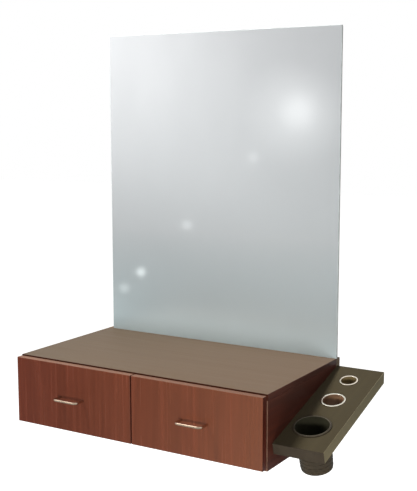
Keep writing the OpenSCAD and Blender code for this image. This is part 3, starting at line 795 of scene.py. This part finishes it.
def keep_side(piece: Piece, at: Vector, way: Vector, outer: bool) -> None:
    """Saws a piece in two and keeps one part.

    Args:
        piece: The piece, in object mode.
        at: A point on the cut.
        way: The cut's normal.
        outer: Keeps the part that way points to, or else the other.
    """
    only(piece)
    bpy.ops.object.mode_set(mode="EDIT")
    bpy.ops.mesh.select_all(action="SELECT")
    bpy.ops.mesh.bisect(plane_co=at, plane_no=way, use_fill=True, clear_inner=outer, clear_outer=not outer)
    bpy.ops.object.mode_set(mode="OBJECT")


def span(piece: Piece, way: Vector) -> tuple[float, float]:
    """Gives the lowest and highest reach of a piece along a direction."""
    reach = [vertex.co.dot(way) for vertex in piece.data.vertices]
    return min(reach), max(reach)


def lies_beyond(edge: Edge, way: Vector, at: float) -> bool:
    """Says whether both ends of an edge lie at or beyond a place along a direction."""
    return all(vertex.co.dot(way) > at - TOUCH for vertex in edge.verts)


@dataclass(frozen=True)
class Band:
    """A strip glued on one edge of a board.

    Attributes:
        way: The direction that the edge faces.
        finish: The strip's finish.
    """

    way: Place
    finish: Finish


@dataclass(frozen=True)
class Board:
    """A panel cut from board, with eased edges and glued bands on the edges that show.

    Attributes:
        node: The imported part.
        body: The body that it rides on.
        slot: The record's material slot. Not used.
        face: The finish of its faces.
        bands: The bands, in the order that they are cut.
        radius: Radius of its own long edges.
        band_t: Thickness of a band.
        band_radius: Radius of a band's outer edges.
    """

    node: str
    body: str
    slot: str
    face: Finish
    bands: tuple[Band, ...] = ()
    radius: float = 0.35 * MM
    band_t: float = 1.0 * MM
    band_radius: float = 0.8 * MM

    def build(self) -> None:
        """Cuts the bands off a copy of the part, eases both, and dresses them."""
        board = copy_of(self.node, f"{self.node}_board")
        cuts: list[tuple[Vector, float]] = []
        for number, band in enumerate(self.bands, 1):
            way = Vector(band.way).normalized()
            top = span(board, way)[1]
            at = top - self.band_t
            only(board)
            bpy.ops.object.duplicate()
            strip = bpy.context.active_object
            strip.name = f"{self.node}_band_{number}"
            keep_side(strip, way * at, way, outer=True)
            keep_side(board, way * at, way, outer=False)
            ease(strip, self.band_radius, LONG_EDGE, lambda edge: lies_beyond(edge, way, top), BAND_STEPS)
            band.finish.dress(strip)
            finish_piece(strip, self.body)
            cuts.append((way, at))
        ease(board, self.radius, LONG_EDGE, lambda edge: not any(lies_beyond(edge, *cut) for cut in cuts))
        self.face.dress(board)
        finish_piece(board, self.body, (self.node,))


@dataclass(frozen=True)
class Fitting:
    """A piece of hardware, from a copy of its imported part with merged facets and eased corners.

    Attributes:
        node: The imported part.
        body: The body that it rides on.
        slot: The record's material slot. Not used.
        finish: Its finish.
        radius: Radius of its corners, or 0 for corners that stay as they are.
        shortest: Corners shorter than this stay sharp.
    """

    node: str
    body: str
    slot: str
    finish: Finish
    radius: float = 0.0
    shortest: float = 0.0

    def build(self) -> Piece:
        """Copies the part, eases it, dresses it and hands it over.

        Returns:
            The piece.
        """
        piece = copy_of(self.node, f"{self.node}_piece")
        if self.radius:
            ease(piece, self.radius, self.shortest)
        self.finish.dress(piece)
        finish_piece(piece, self.body, (self.node,))
        return piece


def build_runner(node: str, body: str) -> None:
    """Builds one half of a runner, of bent and coated sheet with eased edges."""
    Fitting(node, body, "runner_epoxy", EPOXY, radius=0.25 * MM, shortest=LONG_EDGE).build()


def build_rollers(body: str) -> None:
    """Builds a pair of rollers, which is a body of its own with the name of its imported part."""
    Fitting(body, body, "nylon", NYLON, radius=0.15 * MM).build()


def build_screws(body: str, *nodes: str) -> None:
    """Builds groups of zinc-plated screws or rivets.

    Args:
        body: The body that they ride on.
        *nodes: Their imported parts.
    """
    for node in nodes:
        Fitting(node, body, "zinc", ZINC).build()


@dataclass(frozen=True)
class Cabinet:
    """The fixed body: wall board, five panels, their dowels and screws, and the cabinet's runners.

    Attributes:
        body: The body that it is.
        dowel_radius: Radius of the dowels' ends.
    """

    body: str = "cabinet"
    dowel_radius: float = 0.6 * MM

    def build(self) -> None:
        """Builds the boards and the fittings."""
        body = self.body
        bands = (Band(FRONTWARD, WORKTOP_BAND_SHADE), Band(LEFTWARD, MAHOGANY_SIDE), Band(RIGHTWARD, MAHOGANY_SIDE))
        Board("wall_board", body, "dark_board", DARK_BOARD).build()
        Board("top_panel", body, "top_laminate", WORKTOP, bands).build()
        # The side panels' front bands carry the painted highlight. The other panels have plain bands.
        panels = {"bottom_panel": MAHOGANY_BAND, "centre_divider": MAHOGANY_BAND,
                  "left_side_panel": MAHOGANY_RIM_HIGHLIGHT, "right_side_panel": MAHOGANY_RIM_HIGHLIGHT}
        for name, rim in panels.items():
            Board(name, body, "side_laminate", MAHOGANY_SIDE, (Band(FRONTWARD, rim),)).build()
        Fitting("carcass_dowels", body, "beech", BEECH, self.dowel_radius).build()
        build_screws(body, "carcass_screws", "bay_runner_screws", "front_roller_rivets", "tool_board_screws")
        for side in Side:
            build_rollers(f"{side.word}_front_rollers")
            for hand in ("outer", "inner"):
                build_runner(f"{side.word}_bay_{hand}_runner", body)


@dataclass(frozen=True)
class Drawer:
    """One drawer: its front and handle, the box behind it, and the runners, rollers and screws on the box.

    Attributes:
        side: The half of the station that it is in.
        edging_t: Thickness of the edging on the box.
        edging_radius: Radius of the edging.
        bumper_radius: Radius of the bumpers.
        facing: Share of its normal from which a face counts as facing a direction.
    """

    side: Side
    edging_t: float = 0.5 * MM
    edging_radius: float = 0.4 * MM
    bumper_radius: float = 0.8 * MM
    facing: float = 0.6

    def build(self) -> None:
        """Builds the front, the box and the fittings."""
        word = f"{self.side.word}_drawer"
        self.build_front(word)
        edging = (Band(UPWARD, MELAMINE_EDGE),)
        for part in ("outer_side", "inner_side", "box_front", "back"):
            Board(f"{word}_{part}", word, "drawer_melamine", MELAMINE, edging,
                  band_t=self.edging_t, band_radius=self.edging_radius).build()
        Board(f"{word}_floor", word, "drawer_melamine", MELAMINE_FLOOR).build()
        for hand in ("outer", "inner"):
            build_runner(f"{word}_{hand}_runner", word)
        build_rollers(f"{word}_rollers")
        Fitting(f"{word}_bumpers", word, "bumper", BUMPER, self.bumper_radius).build()
        Fitting(f"{word}_handle", word, "chrome", NICKEL).build()
        build_screws(word, f"{word}_runner_screws", f"{word}_rivets", f"{word}_corner_screws",
                     f"{word}_front_screws", f"{word}_handle_screws")

    def build_front(self, word: str) -> None:
        """Builds the drawer front, with a painted highlight on its upward faces and painted shade on its side
        and bottom edge faces.

        Args:
            word: The drawer's body, whose name starts the names of its parts.
        """
        front = copy_of(f"{word}_front", f"{word}_front_board")
        MAHOGANY.dress(front)
        # Painted highlight on the faces that face up, and painted shade on the side and bottom edge faces.
        dress_faces(front, 1, MAHOGANY_TOP_HIGHLIGHT, lambda face: face.normal.z > self.facing)
        dress_faces(front, 2, MAHOGANY_END_SHADE,
                    lambda face: face.normal.z <= self.facing and abs(face.normal.y) < self.facing)
        finish_piece(front, word, (f"{word}_front",))


@dataclass(frozen=True)
class ToolBoard:
    """The sloping board on the right, with the dryer cup and the two iron sleeves.

    Attributes:
        body: The body that it rides on.
        slope: Its slope down to the front, in radians.
        lip: Depth of the cup's lip, which carries a painted highlight.
        floor: Height over the cup's underside that its floor stays below.
        turned_in: Share of its normal from which a face counts as turned to the cup's middle.
        level: Share of its normal from which a face counts as level with the board.
        rim: Depth of a sleeve's bright rim.
    """

    body: str = "cabinet"
    slope: float = TOOL_SLOPE
    lip: float = 0.9 * MM
    floor: float = 5 * MM
    turned_in: float = 0.3
    level: float = 0.9
    rim: float = 2.2 * MM

    @property
    def up(self) -> Vector:
        """The direction that the board's top faces."""
        return Vector((0.0, -math.sin(self.slope), math.cos(self.slope)))

    def build(self) -> None:
        """Builds the board, the cup and the sleeves."""
        down_slope = (0.0, -math.cos(self.slope), -math.sin(self.slope))
        # The right edge carries the painted highlight, and the front end carries the painted shade.
        bands = (Band(down_slope, TAUPE_END_SHADE), Band(RIGHTWARD, TAUPE_BAND_HIGHLIGHT))
        Board("tool_board", self.body, "tool_laminate", TAUPE, bands).build()
        self.build_cup()
        self.build_sleeve("large_iron_sleeve", LARGE_PAINTED_INSIDE)
        self.build_sleeve("small_iron_sleeve", SMALL_PAINTED_INSIDE)

    def build_cup(self) -> None:
        """Builds the cup, with painted shade on its inner wall and floor and a painted highlight on its lip.
        """
        cup = Fitting("dryer_cup", self.body, "cup_plastic", CUP_PLASTIC).build()
        up = self.up
        low, high = span(cup, up)
        middle = sum((vertex.co for vertex in cup.data.vertices), Vector()) / len(cup.data.vertices)

        def is_inside(face: Face) -> bool:
            """Says whether a face is on the inner wall or on the floor."""
            out = face.center - middle
            out -= out.dot(up) * up
            inner_wall = face.normal.dot(out) < -self.turned_in * out.length
            floor = face.normal.dot(up) > self.level and face.center.dot(up) < low + self.floor
            return inner_wall or floor

        # Painted shade inside the cup, and a painted highlight on its lip.
        dress_faces(cup, 1, CUP_INSIDE_SHADE, is_inside)
        dress_faces(cup, 2, CUP_LIP_HIGHLIGHT, lambda face: face.center.dot(up) > high - self.lip)

    def build_sleeve(self, name: str, painted_inside: Finish) -> None:
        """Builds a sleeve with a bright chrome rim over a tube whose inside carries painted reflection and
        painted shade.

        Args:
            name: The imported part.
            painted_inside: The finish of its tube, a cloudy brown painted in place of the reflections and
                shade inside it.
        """
        sleeve = Fitting(name, self.body, "chrome", CHROME).build()
        up = self.up
        rim_low = span(sleeve, up)[1] - self.rim
        # The tube below the rim carries the painted reflection and shade.
        dress_faces(sleeve, 1, painted_inside, lambda face: face.center.dot(up) < rim_low)


@dataclass(frozen=True)
class MirrorPanel:
    """The frameless mirror with its backer, cleats and spacers.

    Attributes:
        body: The body that it rides on.
        flat: Share of its normal from which a face is one of the pane's two flat faces.
        cleat_radius: Radius of the cleats' long edges.
        spacer_radius: Radius of the spacers.
    """

    body: str = "cabinet"
    flat: float = 0.99
    cleat_radius: float = 0.3 * MM
    spacer_radius: float = 0.8 * MM

    def build(self) -> None:
        """Builds the glass, silvered on its flat faces only, and what holds it."""
        glass = copy_of("mirror_glass", "mirror_pane")
        SILVERING.dress(glass)
        dress_faces(glass, 1, GLASS_EDGE, lambda face: abs(face.normal.y) < self.flat)
        finish_piece(glass, self.body, ("mirror_glass",))
        Board("mirror_backer", self.body, "backer", BACKER).build()
        for name in ("mirror_cleat", "wall_cleat"):
            Fitting(name, self.body, "aluminium", ALUMINIUM, self.cleat_radius, LONG_EDGE).build()
        build_screws(self.body, "mirror_cleat_screws")
        Fitting("mirror_spacers", self.body, "rubber", RUBBER, self.spacer_radius).build()


@dataclass(frozen=True)
class PhotoCamera:
    """The camera, where the photograph was taken from.

    Attributes:
        at: Its place.
        heading: Its turn to the left of +Y, in radians.
        drop: How far it looks down, in radians.
        roll: Its turn about its own axis, in radians.
        focal_px: Its focal length in pixels of the image.
        sensor: Length of its sensor's long side, in millimetres.
    """

    at: Place = (1.4480, -2.4436, 0.7628)
    heading: float = 0.5456
    drop: float = 0.1333
    roll: float = 0.0009
    focal_px: float = 975.0
    sensor: float = 36.0

    def axes(self) -> tuple[Vector, Vector, Vector]:
        """Works out where the camera's axes point.

        Returns:
            Its right, up and forward directions.
        """
        ahead = Vector((-math.sin(self.heading) * math.cos(self.drop),
                        math.cos(self.heading) * math.cos(self.drop), -math.sin(self.drop)))
        right = ahead.cross(Vector(UPWARD)).normalized()
        above = right.cross(ahead)
        turn = Matrix.Rotation(self.roll, 3, ahead)
        return turn @ right, turn @ above, ahead

    def set_up(self) -> None:
        """Places the camera and makes it the scene's."""
        right, above, ahead = self.axes()
        lens = bpy.data.cameras.new("photo_camera")
        lens.sensor_width = self.sensor
        lens.lens = self.focal_px * self.sensor / IMAGE_H
        camera = bpy.data.objects.new("photo_camera", lens)
        bpy.context.scene.collection.objects.link(camera)
        turn = Matrix((right, above, -ahead)).transposed().to_4x4()
        camera.matrix_world = Matrix.Translation(self.at) @ turn
        bpy.context.scene.camera = camera

    def mirrored(self, pixel: Pixel) -> Vector:
        """Follows the camera's look at a pixel, once the mirror has turned it back.

        Args:
            pixel: The place in the image, from its upper left corner.

        Returns:
            The direction that the mirror shows there.
        """
        right, above, ahead = self.axes()
        across = (pixel[0] - IMAGE_W / 2) / self.focal_px
        down = (pixel[1] - IMAGE_H / 2) / self.focal_px
        ray = (ahead + right * across - above * down).normalized()
        return Vector((ray.x, -ray.y, ray.z))


@dataclass(frozen=True)
class Lamp:
    """A soft round lamp that lights the station and doesn't show in its shiny faces.

    Attributes:
        name: The lamp's name.
        at: Its place.
        size: Its width in metres.
        power: Its power in watts.
        tint: Its colour as red, green and blue from 0 to 1.
        aim: The place that it faces.
    """

    name: str
    at: Place
    size: float
    power: float
    tint: Place = (1.0, 1.0, 1.0)
    aim: Place = (0.1, -0.2, 0.1)

    def hang(self) -> None:
        """Hangs the lamp in its place."""
        light = bpy.data.lights.new(self.name, "AREA")
        light.shape = "DISK"
        light.size = self.size
        light.energy = self.power
        light.color = self.tint
        lamp = bpy.data.objects.new(self.name, light)
        bpy.context.scene.collection.objects.link(lamp)
        lamp.location = self.at
        way = Vector(self.aim) - Vector(self.at)
        lamp.rotation_euler = way.to_track_quat("-Z", "Y").to_euler()
        lamp.visible_glossy = False


@dataclass(frozen=True)
class Glow:
    """A round patch of light or shade in the world, which shows in shiny faces only.

    Attributes:
        pixel: Where the camera sees it in the mirror. One far off the image shows in the handles instead.
        reach: Half angle of the patch, in degrees.
        strength: Its light at the middle, below 0 for shade.
    """

    pixel: Pixel
    reach: float
    strength: float

    def lobe(self, s: Nodes, way: Socket, middle: Vector) -> Socket:
        """Adds the patch to the world.

        Args:
            s: The world's nodes.
            way: The direction that is looked up.
            middle: The direction of the patch's middle.

        Returns:
            The patch's light as a value socket.
        """
        dot = s.node("ShaderNodeVectorMath", operation="DOT_PRODUCT")
        s.put(dot.inputs[0], way)
        s.put(dot.inputs[1], middle)
        rise = s.ranged(dot.outputs["Value"], math.cos(math.radians(self.reach)), 1.0)
        return s.maths("MULTIPLY", s.maths("POWER", rise, 2.0), self.strength)


@dataclass(frozen=True)
class Studio:
    """The camera, the floor, the lamps and the world.

    Attributes:
        camera: The camera.
        lamps: The lamps.
        floor_z: Height of the floor, below the worktop of a station at its usual height.
        floor_size: Width of the floor.
        floor_colour: The colour of the floor.
        floor_glow: Light of the floor as the camera sees it, so that it reads as white.
        ambient: Even light from all round.
        low_z: Height of a direction in which the reflected world is darkest.
        high_z: Height in which it is lightest.
        low_light: Its light at low_z.
        level_light: Its light at the horizon.
        high_light: What high_z adds to that.
        cool_z: Height over which it has no tint.
        low_tint: Its tint at low_z.
        glows: The patches of light and shade in it.
    """

    camera: PhotoCamera = PhotoCamera()
    lamps: tuple[Lamp, ...] = (
        Lamp("key_lamp", (0.85, -2.9, -0.05), size=0.4, power=38.0),
        Lamp("top_lamp", (-0.9, -0.9, 2.5), size=0.8, power=88.0),
        Lamp("fill_lamp", (2.8, -2.0, 0.9), size=1.8, power=3.0),
        Lamp("accent_lamp", (0.75, -0.75, -0.45), size=0.3, power=1.6, tint=(1.0, 0.86, 0.68)),
    )
    floor_z: float = -0.77
    floor_size: float = 30.0
    floor_colour: Colour = (228, 228, 226)
    floor_glow: float = 0.9
    ambient: float = 0.145
    low_z: float = -0.34
    high_z: float = 0.25
    low_light: float = 0.62
    level_light: float = 0.80
    high_light: float = 0.06
    cool_z: float = 0.05
    low_tint: Colour = (242, 255, 253)
    glows: tuple[Glow, ...] = (
        Glow((90, 10), 15.0, 1.6),
        Glow((350, 10), 13.0, -2.6),
        Glow((350, 280), 9.0, -0.45),
        Glow((260, 150), 14.0, 0.5),
        Glow((90, 190), 8.0, -0.4),
        Glow((105, 340), 13.0, -1.5),
        Glow((299, 111), 3.8, 4.4),
        Glow((299, 111), 1.6, 4.0),
        Glow((253, 157), 0.45, 4.4),
        Glow((187, 225), 0.45, 6.2),
        Glow((141, 272), 0.36, 18.0),
        Glow((124, 288), 0.36, 9.0),
        Glow((262, 450), 8.0, 0.7),
        Glow((-470, -1782), 12.0, 7.0),
    )

    def build(self) -> None:
        """Sets the camera, the floor, the lamps, the world and the colour view."""
        self.camera.set_up()
        self.lay_floor()
        for lamp in self.lamps:
            lamp.hang()
        self.light_world()
        bpy.context.scene.view_settings.view_transform = "Standard"

    def lay_floor(self) -> None:
        """Lays a plain pale floor that keeps the station's shadow and reads as white to the camera."""
        bpy.ops.object.select_all(action="DESELECT")
        bpy.ops.mesh.primitive_plane_add(size=self.floor_size, location=(0, 0, self.floor_z))
        floor = bpy.context.active_object
        floor.name = "studio_floor"
        s = Shader("studio_floor")
        rays = s.node("ShaderNodeLightPath")
        seen = s.maths("MAXIMUM", rays.outputs["Is Camera Ray"], rays.outputs["Is Glossy Ray"])
        s.feed(s.surface, Base_Color=linear(self.floor_colour), Roughness=0.9, Specular_IOR_Level=0.1,
               Emission_Color=(1.0, 1.0, 1.0, 1.0),
               Emission_Strength=s.maths("MULTIPLY", seen, self.floor_glow))
        floor.data.materials.append(s.material)
        floor.visible_glossy = False

    def light_world(self) -> None:
        """Lights the world: white to the camera, soft grey light, and a graded studio in reflections."""
        world = bpy.data.worlds.new("studio_world")
        bpy.context.scene.world = world
        s = Nodes(world, "Background")
        way = s.node("ShaderNodeTexCoord").outputs["Generated"]
        apart = s.node("ShaderNodeSeparateXYZ")
        s.feed(apart, Vector=way)
        height = apart.outputs["Z"]
        low = s.ranged(height, self.low_z, 0.0, self.low_light, self.level_light)
        high = s.ranged(height, 0.0, self.high_z, 0.0, self.high_light)
        reflected = s.maths("ADD", low, high)
        for glow in self.glows:
            reflected = s.maths("ADD", reflected, glow.lobe(s, way, self.camera.mirrored(glow.pixel)))
        rays = s.node("ShaderNodeLightPath")
        glossy = rays.outputs["Is Glossy Ray"]
        even = s.maths("MULTIPLY", s.maths("SUBTRACT", 1.0, glossy), self.ambient)
        soft = s.maths("ADD", s.maths("MULTIPLY", reflected, glossy), even)
        shown = s.maths("MAXIMUM", rays.outputs["Is Camera Ray"], rays.outputs["Is Transmission Ray"])
        cool = s.maths("MULTIPLY", s.ranged(height, self.low_z, self.cool_z, 1.0, 0.0), glossy)
        s.feed(s.surface, Strength=s.maths("MAXIMUM", soft, shown),
               Color=s.mixed(cool, (255, 255, 255), self.low_tint))


def main() -> None:
    """Builds the studio and every sub-assembly in order."""
    logging.basicConfig(level=logging.INFO, format="%(name)s: %(message)s")
    Studio().build()
    for assembly in (Cabinet(), Drawer(Side.LEFT), Drawer(Side.RIGHT), ToolBoard(), MirrorPanel()):
        assembly.build()
        LOG.info("built %s", type(assembly).__name__)


if __name__ == "__main__":
    main()
